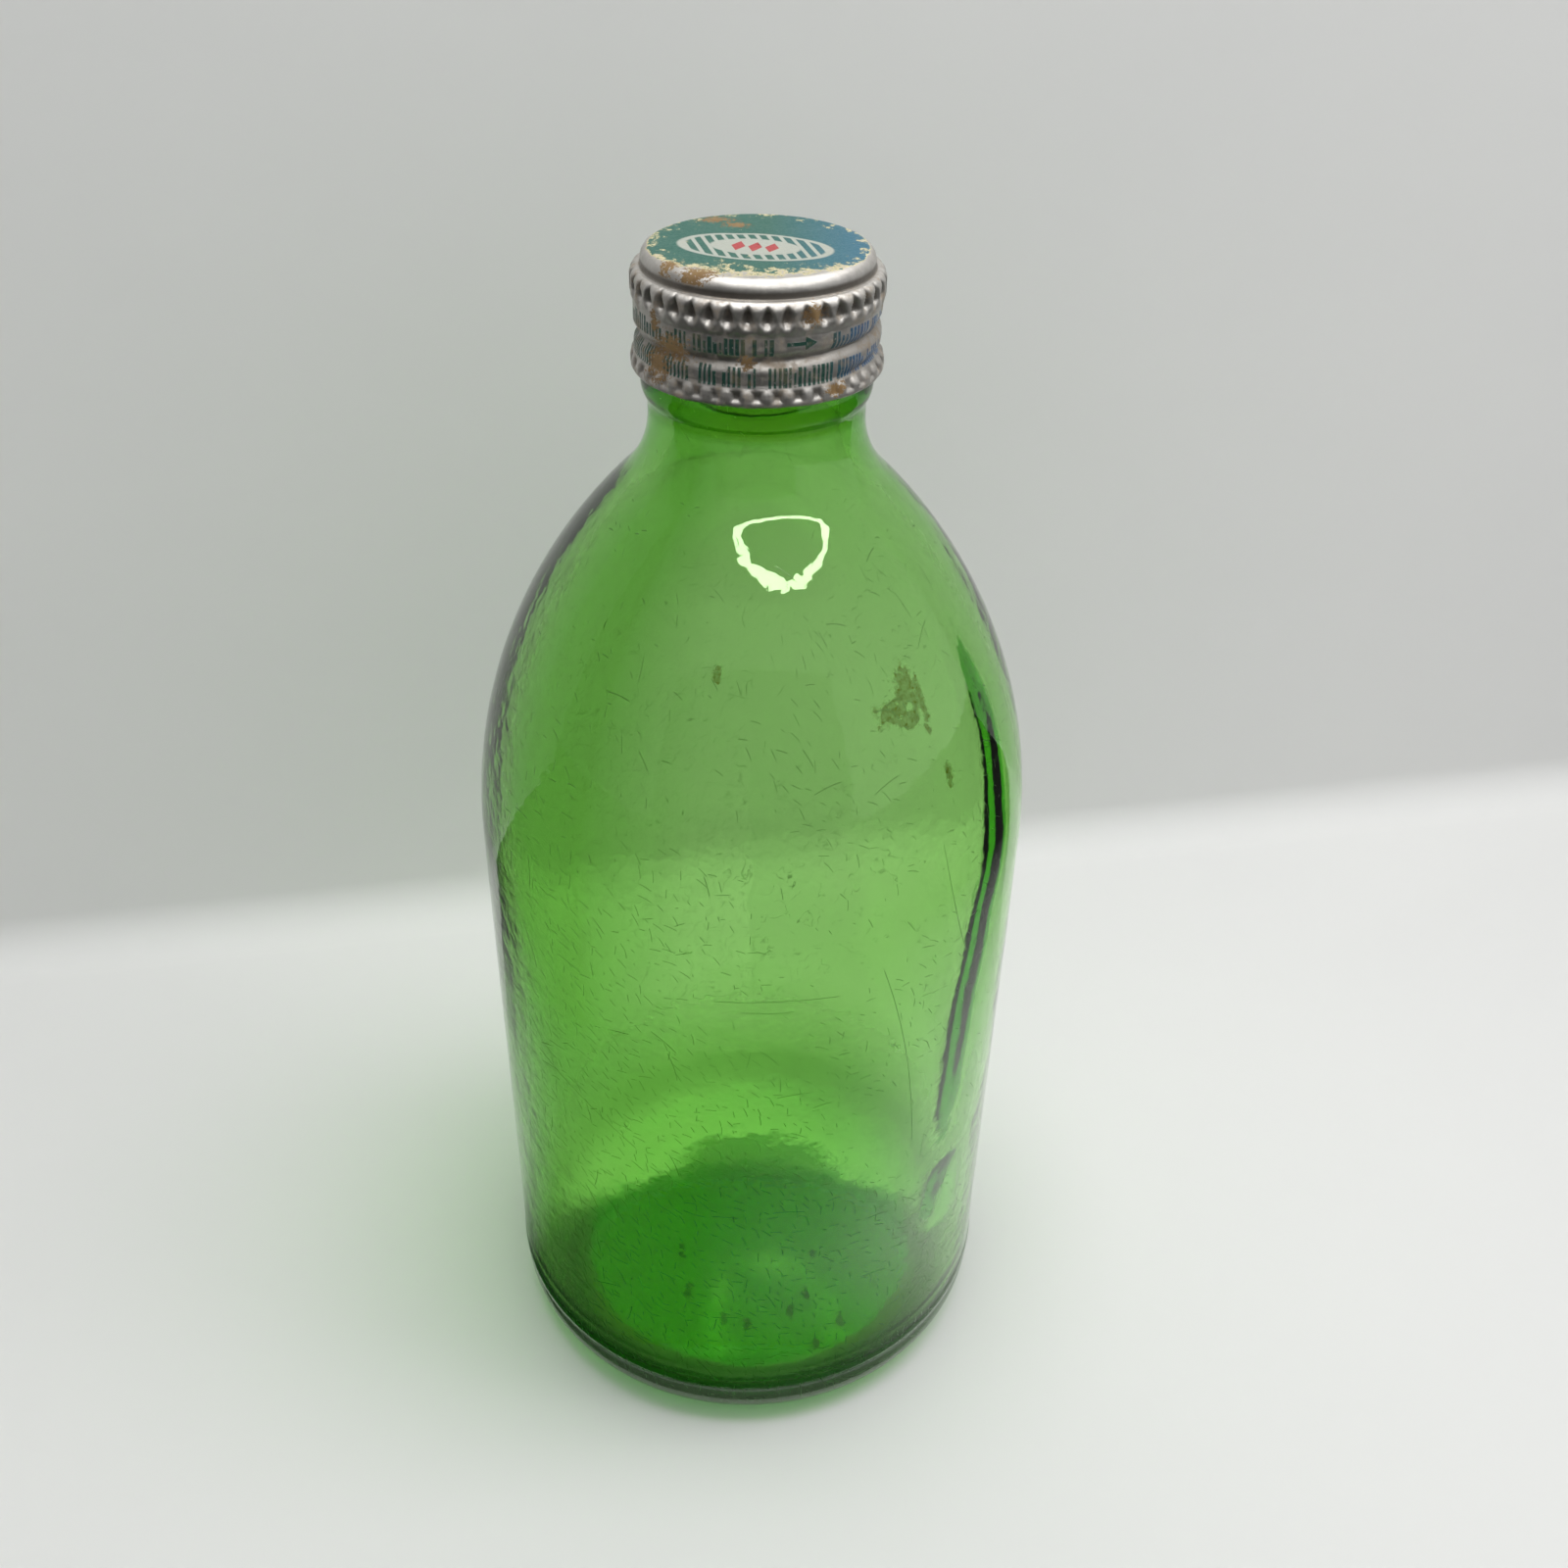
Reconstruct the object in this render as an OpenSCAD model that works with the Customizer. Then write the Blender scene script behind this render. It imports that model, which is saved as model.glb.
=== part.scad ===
// Glass soda bottle with a rolled-on aluminium screw cap, in millimetres.
// Origin at the centre of the base, +Z up through the mouth.

/* [Body] */
// Outside diameter of the body
body_d = 73.8; // [70:0.2:80]
// Height of the straight side above the base
side_h = 90; // [70:1:100]
// Radius of the shoulder's outward curve
shoulder_r = 69.3; // [64:0.1:76]
// Radius that rounds the heel into the side
heel_r = 7; // [4:0.5:9]
// Glass thickness in the side and the shoulder
wall_t = 2.6; // [2:0.1:4]

/* [Base] */
// Glass thickness at the middle of the base
base_t = 5.5; // [4:0.5:8]
// Diameter of the hollow under the base
pushup_d = 52; // [44:1:54]
// Height of the hollow under the base
pushup_h = 4; // [2:0.5:6]
// Radius that rounds the inner edge of the resting ring
ring_edge_r = 2; // [1:0.5:3]
// Radius between the inside floor and the side
floor_fillet_r = 6; // [4:0.5:9]

/* [Neck] */
// Outside diameter of the neck
neck_d = 25.8; // [25.2:0.1:26.6]
// Radius of the hollow curve between shoulder and neck
neck_fillet_r = 11.3; // [9:0.1:16]
// Height of the plain neck below the carrying bead
neck_h = 1.8; // [0.6:0.1:12]
// Diameter of the bore through the neck and mouth
bore_d = 18.6; // [16:0.1:20]
// Radius between the inside of the shoulder and the bore
bore_fillet_r = 15; // [12:0.5:18]

/* [Finish] */
// Diameter over the glass thread that the cap is rolled on to
thread_d = 27.4; // [27:0.1:28]
// Diameter of the glass between the threads
finish_d = 24.9; // [24:0.1:25.2]
// Height of the carrying bead
bead_h = 4.2; // [3:0.1:6]
// How far the bead stays inside the thread's radius
bead_inset = 0.05; // [0:0.05:0.15]
// Height from the top of the bead to the lip
finish_h = 11.8; // [11.6:0.1:16]
// Radius of the lip's outer edge
lip_outer_r = 1.2; // [0.6:0.1:1.5]
// Radius of the lip's inner edge
lip_inner_r = 0.8; // [0.4:0.1:1]

/* [Liner] */
// Thickness of the sealing liner
liner_t = 0.7; // [0.6:0.1:1.2]
// Play between the liner and the sheet round it
liner_play = 0.05; // [0.03:0.01:0.1]

/* [Cap] */
// Thickness of the aluminium sheet
sheet_t = 0.25; // [0.2:0.05:0.4]
// Play between the crown's wall and the glass inside it
crown_play = 0.3; // [0.2:0.05:0.45]
// Play between the skirt and the glass thread
skirt_play = 0.3; // [0.2:0.05:0.5]
// Radius that rounds the deck into the crown's wall
deck_edge_r = 1.5; // [1:0.1:1.6]
// Depth from the deck to the groove round the crown
groove_drop = 2.1; // [2.1:0.1:2.6]
// Radius of the groove's floor and of the knurled band's upper edge
groove_r = 0.5; // [0.45:0.05:0.55]
// Height of the knurled band
knurl_h = 2.2; // [1.5:0.1:3]
// Depth of the knurls
knurl_depth = 0.45; // [0.2:0.05:0.6]
// Number of knurls round the band
knurl_count = 42; // [24:1:60]
// Height of the plain land under the knurls
upper_land_h = 2.3; // [1.6:0.1:2.8]
// Height of the rolled-in band between the lands
roll_h = 1.6; // [1.2:0.1:2]
// Depth of the rolled-in band
roll_depth = 0.5; // [0.3:0.05:0.6]
// Height of the plain land above the hem
lower_land_h = 2.4; // [2:0.1:3]
// Height of the crimped band in the hem
crimp_h = 1.3; // [0.8:0.1:1.6]
// Depth of the crimps
crimp_depth = 0.3; // [0.15:0.05:0.35]
// Number of crimps round the hem
crimp_count = 40; // [24:1:60]
// How far the hem stands out from the lands
hem_out = 0.1; // [0:0.05:0.3]
// Height of the plain edge under the crimps
hem_edge_h = 0.5; // [0.4:0.1:1]

/* [Hidden] */
$fn = 120;

arc_step = 3;          // degrees between the points of an arc
wave_points = 6;       // points along one knurl or crimp
band_margin = 0.05;    // crimped bands end this far inside the edges of their shelves
shelf_run = 0.5;       // upright stretch of sheet above a crimped band
neck_step = 0.6;       // height of the slope from the bead's top to the finish

body_r = body_d / 2;
inner_r = body_r - wall_t;
neck_r = neck_d / 2;
bore_r = bore_d / 2;
finish_r = finish_d / 2;
bead_r = thread_d / 2 - bead_inset;

// Heights up the glass
neck_z = shoulder_top(body_r, shoulder_r, neck_r, neck_fillet_r);
bead_z = neck_z + neck_h;
finish_z = bead_z + bead_h;
lip_z = finish_z + finish_h;
floor_z = pushup_h + base_t;

// Radii and heights of the cap
crown_r = finish_r + crown_play + sheet_t;
skirt_r = thread_d / 2 + skirt_play + sheet_t;
hem_r = skirt_r + hem_out;
deck_z = lip_z + liner_t + liner_play + sheet_t;
groove_z = deck_z - groove_drop;
knurl_top = groove_z - groove_r - shelf_run;
knurl_foot = knurl_top - knurl_h;
roll_top = knurl_foot - upper_land_h;
roll_foot = roll_top - roll_h;
crimp_top = roll_foot - lower_land_h;
crimp_foot = crimp_top - crimp_h;
cap_foot = crimp_foot - hem_edge_h;

// Points of an arc about c from angle a0 to a1
function arc(c, r, a0, a1) =
    let (n = max(2, ceil(abs(a1 - a0) / arc_step)))
    [for (i = [0:n]) let (a = a0 + (a1 - a0) * i / n) c + r * [cos(a), sin(a)]];

// Radius of the arc that rises h over a chord whose half is w
function dome_r(w, h) = (w * w + h * h) / (2 * h);

// Height at which a shoulder arc and its hollow fillet reach the neck
function shoulder_top(side, arc_r, neck, fillet) =
    side_h + sqrt(pow(arc_r + fillet, 2) - pow(neck + fillet - side + arc_r, 2));

// Side to neck: an outward arc that runs into a hollow fillet
function shoulder(side, arc_r, neck, fillet) =
    let (top = shoulder_top(side, arc_r, neck, fillet),
         meet = atan2(top - side_h, neck + fillet - side + arc_r))
    concat(arc([side - arc_r, side_h], arc_r, 0, meet),
           arc([neck + fillet, top], fillet, 180 + meet, 180));

// Middle to side: a dome that runs into a round edge whose centre is at radius x or height z
function underside() =
    let (r = dome_r(pushup_d / 2, pushup_h),
         c = [0, pushup_h - r],
         rise = ring_edge_r - c[1],
         x = sqrt(pow(r + ring_edge_r, 2) - rise * rise),
         meet = atan2(rise, x))
    concat(arc(c, r, 90, meet),
           arc([x, ring_edge_r], ring_edge_r, 180 + meet, 270));

function floor_inside() =
    let (r = dome_r(pushup_d / 2, pushup_h) + base_t,
         c = [0, floor_z - r],
         x = inner_r - floor_fillet_r,
         rise = sqrt(pow(r + floor_fillet_r, 2) - x * x),
         meet = atan2(rise, x))
    concat(arc([x, c[1] + rise], floor_fillet_r, 360, 180 + meet),
           arc(c, r, meet, 90));

// The bead bulges from the neck and leans back to the finish
function bead() =
    let (r = dome_r(bead_h / 2, bead_r - neck_r),
         half = asin(bead_h / 2 / r))
    concat(arc([bead_r - r, bead_z + bead_h / 2], r, -half, half),
           [[finish_r, finish_z + neck_step]]);

function lip() =
    concat(arc([finish_r - lip_outer_r, lip_z - lip_outer_r], lip_outer_r, 0, 90),
           arc([bore_r + lip_inner_r, lip_z - lip_inner_r], lip_inner_r, 90, 180));

function reversed(path) = [for (i = [len(path) - 1:-1:0]) path[i]];

module bottle() {
    outside = concat(underside(),
                     arc([body_r - heel_r, heel_r], heel_r, 270, 360),
                     shoulder(body_r, shoulder_r, neck_r, neck_fillet_r),
                     bead(), lip());
    inside = concat(reversed(shoulder(inner_r, shoulder_r - wall_t, bore_r, bore_fillet_r)),
                    floor_inside());
    color([0.24, 0.56, 0.2, 0.6])
        rotate_extrude() polygon(concat(outside, inside));
}

// The liner fills the crown from the lip up to the deck
module cap_liner() {
    edge_r = deck_edge_r - sheet_t - liner_play;
    rim_z = deck_z - deck_edge_r;
    low = max(0, asin((lip_z - rim_z) / edge_r));
    color("ivory")
        rotate_extrude()
            polygon(concat([[0, lip_z]],
                           arc([crown_r - deck_edge_r, rim_z], edge_r, low, 90),
                           [[0, lip_z + liner_t]]));
}

// Normal of a path at point i, long enough to keep the sheet's thickness at a corner
function mitre(path, i) =
    let (last = len(path) - 1,
         a = path[max(1, i)] - path[max(1, i) - 1],
         b = path[min(last, i + 1)] - path[min(last, i + 1) - 1],
         na = [-a[1], a[0]] / norm(a),
         nb = [-b[1], b[0]] / norm(b))
    (na + nb) / (1 + na * nb);

// Sheet of thickness sheet_t behind a path
module sheet(path) {
    back = [for (i = [0:len(path) - 1]) path[i] - sheet_t * mitre(path, i)];
    rotate_extrude() polygon(concat(path, reversed(back)));
}

// Closed outline that dips inwards count times round
function wave(r, depth, count) =
    [for (i = [0:count * wave_points - 1])
        let (a = 360 * i / (count * wave_points))
        (r - depth * (1 - cos(count * a)) / 2) * [cos(a), sin(a)]];

// Crimped band of sheet, let into the shelves above and below it
module crimped_band(r, depth, count, foot, top) {
    translate([0, 0, foot - sheet_t / 2])
        linear_extrude(top - foot + sheet_t)
            difference() {
                polygon(wave(r - band_margin, depth, count));
                polygon(wave(r - band_margin - sheet_t, depth, count));
            }
}

module cap_shell() {
    knurl_in = skirt_r - knurl_depth - sheet_t - 2 * band_margin;
    crimp_in = hem_r - crimp_depth - sheet_t - 2 * band_margin;
    color("silver") union() {
        sheet(concat([[0, deck_z]],
                     arc([crown_r - deck_edge_r, deck_z - deck_edge_r], deck_edge_r, 90, 0),
                     arc([crown_r + groove_r, groove_z + groove_r], groove_r, 180, 270),
                     arc([skirt_r - groove_r, groove_z - groove_r], groove_r, 90, 0),
                     [[knurl_in, knurl_top]]));
        crimped_band(skirt_r, knurl_depth, knurl_count, knurl_foot, knurl_top);
        sheet(concat([[knurl_in, knurl_foot], [skirt_r, knurl_foot]],
                     rolled_in(skirt_r, roll_depth, roll_top, roll_foot),
                     [[skirt_r, crimp_top + 2 * shelf_run], [hem_r, crimp_top + shelf_run],
                      [hem_r, crimp_top], [crimp_in, crimp_top]]));
        crimped_band(hem_r, crimp_depth, crimp_count, crimp_foot, crimp_top);
        sheet([[crimp_in, crimp_foot], [hem_r, crimp_foot], [hem_r, cap_foot]]);
    }
}

// Path down a band that is rolled in by depth
function rolled_in(r, depth, top, foot) =
    [for (a = [0:30:360]) [r - depth * (1 - cos(a)) / 2, top + (foot - top) * a / 360]];

bottle();
cap_liner();
cap_shell();
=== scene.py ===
import math

import bpy
import bmesh
from mathutils import Matrix, Vector, noise


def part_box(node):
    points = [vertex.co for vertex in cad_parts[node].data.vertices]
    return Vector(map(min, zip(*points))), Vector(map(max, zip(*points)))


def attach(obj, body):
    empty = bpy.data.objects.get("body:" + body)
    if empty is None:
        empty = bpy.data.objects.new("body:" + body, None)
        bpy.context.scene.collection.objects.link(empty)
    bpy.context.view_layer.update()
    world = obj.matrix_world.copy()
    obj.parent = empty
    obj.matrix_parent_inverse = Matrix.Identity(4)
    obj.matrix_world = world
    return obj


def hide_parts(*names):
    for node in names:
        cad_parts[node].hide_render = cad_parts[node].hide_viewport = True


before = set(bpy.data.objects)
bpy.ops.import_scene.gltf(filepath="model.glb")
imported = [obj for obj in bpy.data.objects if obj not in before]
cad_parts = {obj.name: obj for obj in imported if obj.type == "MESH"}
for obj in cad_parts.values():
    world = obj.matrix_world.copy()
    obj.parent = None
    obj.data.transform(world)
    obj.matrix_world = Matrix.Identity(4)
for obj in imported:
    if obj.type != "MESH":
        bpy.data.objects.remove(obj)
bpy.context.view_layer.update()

# ---------------------------------------------------------------- sizes
# The shapes are worked out in millimetres and turned to metres when a mesh is made.
MM = 0.001

_, bottle_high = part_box("bottle")
cap_low, cap_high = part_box("cap_shell")
BODY_R = bottle_high[0] / MM
LIP_Z = bottle_high[2] / MM
DECK_Z = cap_high[2] / MM
THREAD_PITCH = 3.175
RIDGE_H = 1.1
RIDGE_HALF = 1.0

SIDE_H = 90.0
SHOULDER_R = 69.3
HEEL_R = 7.0
WALL_T = 2.6
PUSHUP_R = 26.0
PUSHUP_H = 4.0
RING_EDGE_R = 2.0
FLOOR_TOP = 11.5
FLOOR_HALF = 24.0
FLOOR_DROP = 5.0
FLOOR_FILLET_R = 5.0
FLOOR_SINK = 4.3
SEAM_Z = 9.4
NECK_R = 12.9
NECK_FILLET_R = 11.3
BORE_R = 9.3
BORE_FILLET_R = 15.0
FINISH_R = 12.45
BEAD_R = 13.65
BEAD_H = 4.2
FINISH_H = 11.8
LIP_OUTER_R = 1.2
LIP_INNER_R = 0.8
# The waves in the glass run out at this height
WAVES_END = 147.0

SHEET_T = 0.25
CROWN_R = 13.0
SKIRT_R = 14.25
DECK_EDGE_R = 1.05
GROOVE_DROP = 2.1
GROOVE_R = 0.5
CAP_FOOT = cap_low[2] / MM
BAND_R = 13.97
KNURLS = 42
KNURL_H = 2.9
KNURL_FOOT = DECK_Z - 4.9
KNURL_DEPTH = 0.75
DIMPLE_HALF = 0.92
DIMPLE_BROAD = 0.36
HEM_OUT_R = 14.45
HEM_TOP = CAP_FOOT + 2.2
HEM_EDGE = CAP_FOOT + 0.35
CRIMPS = 40
CRIMP_FOOT = HEM_EDGE + 0.25
CRIMP_H = 1.4
CRIMP_DEPTH = 0.42
VALLEY_Z = DECK_Z - 8.2
VALLEY_HALF = 1.3
VALLEY_DEPTH = 0.6
THREAD_FROM = -0.92
THREAD_TO = 0.62
FRONT = math.radians(-90)
# Columns of points round each lathe
CAP_COLUMNS = 840
GLASS_COLUMNS = 320


# ---------------------------------------------------------------- helpers
def srgb(hex_code, alpha=1.0):
    """A colour written as sRGB hex, in the linear values that shaders use."""
    parts = [int(hex_code[i:i + 2], 16) / 255 for i in (1, 3, 5)]
    linear = [c / 12.92 if c <= 0.04045 else ((c + 0.055) / 1.055) ** 2.4 for c in parts]
    return (*linear, alpha)


def add(tree, kind, inputs=(), out=0, **settings):
    """Adds one node with its settings and links; gives the output socket that the next one takes."""
    made = tree.nodes.new("ShaderNode" + kind)
    for name, value in settings.items():
        setattr(made, name, value)
    named = inputs.items() if isinstance(inputs, dict) else enumerate(inputs)
    for key, value in named:
        if isinstance(value, bpy.types.NodeSocket):
            tree.links.new(value, made.inputs[key])
        elif value is not None:
            made.inputs[key].default_value = value
    return made.outputs[out] if made.outputs else made


def new_material(name):
    material = bpy.data.materials.new(name)
    material.use_nodes = True
    material.node_tree.nodes.clear()
    return material, material.node_tree


def mesh_piece(name, points, faces, material, body=None):
    """A smooth mesh piece from points in millimetres."""
    mesh = bpy.data.meshes.new(name)
    mesh.from_pydata([Vector(p) * MM for p in points], [], faces)
    mesh.shade_smooth()
    mesh.materials.append(material)
    piece = bpy.data.objects.new(name, mesh)
    bpy.context.scene.collection.objects.link(piece)
    if body:
        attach(piece, body)
    return piece


def arc(centre, radius, start, end, step=2.5):
    """Points of an arc in an outline, from one angle in degrees to another."""
    count = max(3, math.ceil(abs(end - start) / step))
    angles = [math.radians(start + (end - start) * i / count) for i in range(count + 1)]
    return [(centre[0] + radius * math.cos(a), centre[1] + radius * math.sin(a)) for a in angles]


def spaced(path, step):
    """The same outline with no straight run longer than step."""
    out = [path[0]]
    for start, end in zip(path, path[1:]):
        length = math.dist(start, end)
        if length < 1e-4:
            continue
        count = max(1, math.ceil(length / step))
        for i in range(1, count + 1):
            share = i / count
            out.append((start[0] + (end[0] - start[0]) * share, start[1] + (end[1] - start[1]) * share))
    return out


def lathe(path, columns, shape):
    """Grid of points round the axis. shape(r, z, angle) gives the finished radius and height."""
    points, faces = [], []
    rows = len(path)
    for r, z in path:
        for column in range(columns):
            angle = 2 * math.pi * column / columns
            radius, height = shape(r, z, angle)
            points.append((radius * math.cos(angle), radius * math.sin(angle), height))
    for row in range(rows - 1):
        for column in range(columns):
            nxt = (column + 1) % columns
            a, b = row * columns + column, row * columns + nxt
            faces.append((a, b, b + columns, a + columns))
    return points, faces


def close_ends(points, faces, columns):
    """Closes a lathe grid whose first and last rows circle the axis, with a point in the middle of each."""
    for first, upward in ((0, False), (len(points) - columns, True)):
        ring = points[first:first + columns]
        middle = len(points)
        points.append((0.0, 0.0, sum(p[2] for p in ring) / columns))
        for column in range(columns):
            a, b = first + column, first + (column + 1) % columns
            faces.append((a, b, middle) if upward else (b, a, middle))
    return points, faces


def smooth_step(low, high, value):
    share = min(1.0, max(0.0, (value - low) / (high - low)))
    return share * share * (3 - 2 * share)


# ---------------------------------------------------------------- the glass
def dome_radius(half_width, rise):
    return (half_width ** 2 + rise ** 2) / (2 * rise)


def shoulder(side, arc_r, neck, fillet):
    """Side to neck: an outward arc that runs into a hollow fillet. Gives its points and its top."""
    across = neck + fillet - side + arc_r
    top = SIDE_H + math.sqrt((arc_r + fillet) ** 2 - across ** 2)
    meet = math.degrees(math.atan2(top - SIDE_H, across))
    curve = arc((side - arc_r, SIDE_H), arc_r, 0, meet, 1.2)
    return curve + arc((neck + fillet, top), fillet, 180 + meet, 180), top


def bottle_outlines():
    """The outside from under the base to the lip, and the inside from the lip to the floor."""
    dome = dome_radius(PUSHUP_R, PUSHUP_H)
    dome_c = (0.0, PUSHUP_H - dome)
    rise = RING_EDGE_R - dome_c[1]
    ring_x = math.sqrt((dome + RING_EDGE_R) ** 2 - rise ** 2)
    meet = math.degrees(math.atan2(rise, ring_x))
    under = arc(dome_c, dome, 89.6, meet, 1.0) + arc((ring_x, RING_EDGE_R), RING_EDGE_R, 180 + meet, 270, 6)
    heel = arc((BODY_R - HEEL_R, HEEL_R), HEEL_R, 270, 360, 3)
    heel += [(BODY_R, SEAM_Z - 0.3), (BODY_R + 0.12, SEAM_Z), (BODY_R, SEAM_Z + 0.3)]
    outer_shoulder, _ = shoulder(BODY_R, SHOULDER_R, NECK_R, NECK_FILLET_R)
    bead_top = LIP_Z - FINISH_H
    bead_arc = dome_radius(BEAD_H / 2, BEAD_R - NECK_R)
    half = math.degrees(math.asin(BEAD_H / 2 / bead_arc))
    bead = arc((BEAD_R - bead_arc, bead_top - BEAD_H / 2), bead_arc, -half, half, 6)
    finish = [(FINISH_R, bead_top + 0.6), (FINISH_R, LIP_Z - LIP_OUTER_R - 0.01)]
    lip = arc((FINISH_R - LIP_OUTER_R, LIP_Z - LIP_OUTER_R), LIP_OUTER_R, 0, 90, 10)
    lip += arc((BORE_R + LIP_INNER_R, LIP_Z - LIP_INNER_R), LIP_INNER_R, 90, 180, 10)
    outside = under + heel + outer_shoulder + bead + finish + lip

    inner_r = BODY_R - WALL_T
    inner_shoulder, _ = shoulder(inner_r, SHOULDER_R - WALL_T, BORE_R, BORE_FILLET_R)
    floor = dome_radius(FLOOR_HALF, FLOOR_DROP)
    floor_c = (0.0, FLOOR_TOP - floor)
    fillet_x = inner_r - FLOOR_FILLET_R
    fillet_rise = math.sqrt((floor + FLOOR_FILLET_R) ** 2 - fillet_x ** 2)
    floor_meet = math.degrees(math.atan2(fillet_rise, fillet_x))
    inside = inner_shoulder[::-1]
    inside += arc((fillet_x, floor_c[1] + fillet_rise), FLOOR_FILLET_R, 360, 180 + floor_meet, 5)
    inside += arc(floor_c, floor, floor_meet, 89.6, 1.0)
    return outside, inside


def laps(angle):
    """The turns of the thread that pass this angle, counted from the front. It climbs to the right."""
    along = (angle - FRONT) / (2 * math.pi)
    along -= math.floor(along)
    return [turn for turn in (along - 1, along) if THREAD_FROM < turn < THREAD_TO]


def faded_end(turn):
    return smooth_step(0, 0.08, min(turn - THREAD_FROM, THREAD_TO - turn))


def thread_ridge(angle, z):
    """How far the glass thread stands out of the finish, half a pitch above the cap's valley."""
    for turn in laps(angle):
        gap = abs(z - VALLEY_Z - THREAD_PITCH / 2 - turn * THREAD_PITCH)
        if gap < RIDGE_HALF:
            return RIDGE_H * faded_end(turn) * (0.5 + 0.5 * math.cos(math.pi * gap / RIDGE_HALF))
    return 0.0


def settled_glass(angle, z):
    """How much thicker than nominal the wall is, in millimetres: blown glass settles to one side."""
    high = smooth_step(100, 116, z)
    fade = smooth_step(8, 75, z) * (1 - smooth_step(128, 143, z))
    once = 0.15 + 0.27 * high
    twice = -0.08 - 0.09 * high
    return fade * (once * math.sin(angle) + twice * math.sin(2 * angle) - 0.28 * math.cos(angle))


# Where the rib inside the wall runs: height, degrees round from the front, and thickness in mm
RIB = ((128.0, 66.0, 0.0), (112.0, 69.0, 0.7), (98.0, 67.0, 1.1), (84.0, 61.5, 1.2), (70.0, 58.0, 1.2),
       (56.0, 56.0, 0.9), (49.0, 55.0, 0.35), (44.0, 53.5, 0.0), (39.5, 52.0, 0.5), (36.7, 51.7, 0.7),
       (33.0, 51.0, 0.5), (29.0, 50.5, 0.0))
# Where the rib ends and the drop begins, and how far each reaches to a side in degrees
RIB_FOOT = 43.0
RIB_WIDE, DROP_WIDE = 6.5, 5.0


def rib(angle, z):
    """A rounded rib of thicker glass down the inside of the wall on the right, with a drop below it."""
    round_front = (math.degrees(angle - FRONT) + 180) % 360 - 180
    for (top, a, thick), (foot, b, thin) in zip(RIB, RIB[1:]):
        if foot <= z < top:
            share = smooth_step(foot, top, z)
            across = (round_front - b - (a - b) * share) / (RIB_WIDE if foot > RIB_FOOT else DROP_WIDE)
            return (thin + (thick - thin) * share) * math.exp(-across * across)
    return 0.0


def glass_shape(inside):
    """The moulded form: the thread outside, and slow waves of blown glass, strongest on the inside. The
    inside also has the settled glass and the rib, and its floor lies lower behind than in front."""
    def shape(r, z, angle):
        across = Vector((math.cos(angle) * 1.1, math.sin(angle) * 1.1, z * 0.022))
        body = smooth_step(2, 18, z) * (1 - smooth_step(WAVES_END - 9, WAVES_END, z))
        if inside:
            r += body * (0.10 * noise.noise(across + Vector((5, 2, 1))) + 0.06 * noise.noise(across * 2.7))
            r -= body * settled_glass(angle, z) + rib(angle, z)
            if z < 14:
                z -= FLOOR_SINK * smooth_step(0, 13, r * math.sin(angle)) * (1 - smooth_step(8, 14, z))
        else:
            r += body * 0.06 * noise.noise(across * 1.6)
            if LIP_Z - 11 < z < LIP_Z - 1.6 and r > 12:
                r += thread_ridge(angle % (2 * math.pi), z)
        return r, z
    return shape


def make_bottle(material):
    outside, inside = bottle_outlines()
    columns = GLASS_COLUMNS
    outer_path = spaced(outside, 1.2)
    finish = [p for p in outer_path if p[0] > 12 and LIP_Z - FINISH_H < p[1] < LIP_Z - 1.1]
    dense = spaced([finish[0], finish[-1]], 0.22)
    first, last = outer_path.index(finish[0]), outer_path.index(finish[-1])
    outer_path[first:last + 1] = dense
    inner_path = spaced(inside, 1.5)
    points, faces = lathe(outer_path, columns, glass_shape(False))
    inner_points, inner_faces = lathe(inner_path, columns, glass_shape(True))
    shift = len(points)
    faces += [tuple(i + shift for i in face) for face in inner_faces]
    seam = shift - columns
    for column in range(columns):
        nxt = (column + 1) % columns
        faces.append((seam + column, seam + nxt, shift + nxt, shift + column))
    points += inner_points
    points, faces = close_ends(points, faces, columns)
    bottle = mesh_piece("bottle_glass", points, faces, material, "bottle")
    side = bottle.data.attributes.new("inside", "FLOAT", "POINT")
    side.data.foreach_set("value", [float(shift <= i != len(points) - 2) for i in range(len(points))])
    tidy = bmesh.new()
    tidy.from_mesh(bottle.data)
    bmesh.ops.recalc_face_normals(tidy, faces=tidy.faces)
    tidy.to_mesh(bottle.data)
    tidy.free()
    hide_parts("bottle")
    return bottle


# ---------------------------------------------------------------- the cap
def thread_valley(angle, z):
    """Depth of the valley that the roller pressed into the skirt: right-hand, about 1.5 turns."""
    depth = 0.0
    for turn in laps(angle):
        gap = abs(z - VALLEY_Z - turn * THREAD_PITCH) / VALLEY_HALF
        if gap < 1:
            depth += VALLEY_DEPTH * faded_end(turn) * (0.5 + 0.5 * math.cos(math.pi * gap))
    return depth


def knurl(angle, z):
    """Depth of a teardrop dimple: round at its foot, running out to a point at its top."""
    up = (z - KNURL_FOOT) / KNURL_H
    if not 0 < up < 1:
        return 0.0
    number = angle * KNURLS / (2 * math.pi)
    side = abs(number - round(number)) * 2 * math.pi * SKIRT_R / KNURLS
    if up < DIMPLE_BROAD:
        wide = DIMPLE_HALF * math.sqrt(up / DIMPLE_BROAD)
    else:
        wide = DIMPLE_HALF * (1 - 0.8 * ((up - DIMPLE_BROAD) / (1 - DIMPLE_BROAD)) ** 1.6)
    across = max(0.0, 1 - (side / wide) ** 2)
    strength = 0.88 + 0.24 * noise.noise(Vector((round(number) * 3.7, 1, 2)))
    return KNURL_DEPTH * strength * across ** 0.7 * smooth_step(0, 0.3, up) * smooth_step(0, 0.3, 1 - up)


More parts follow.
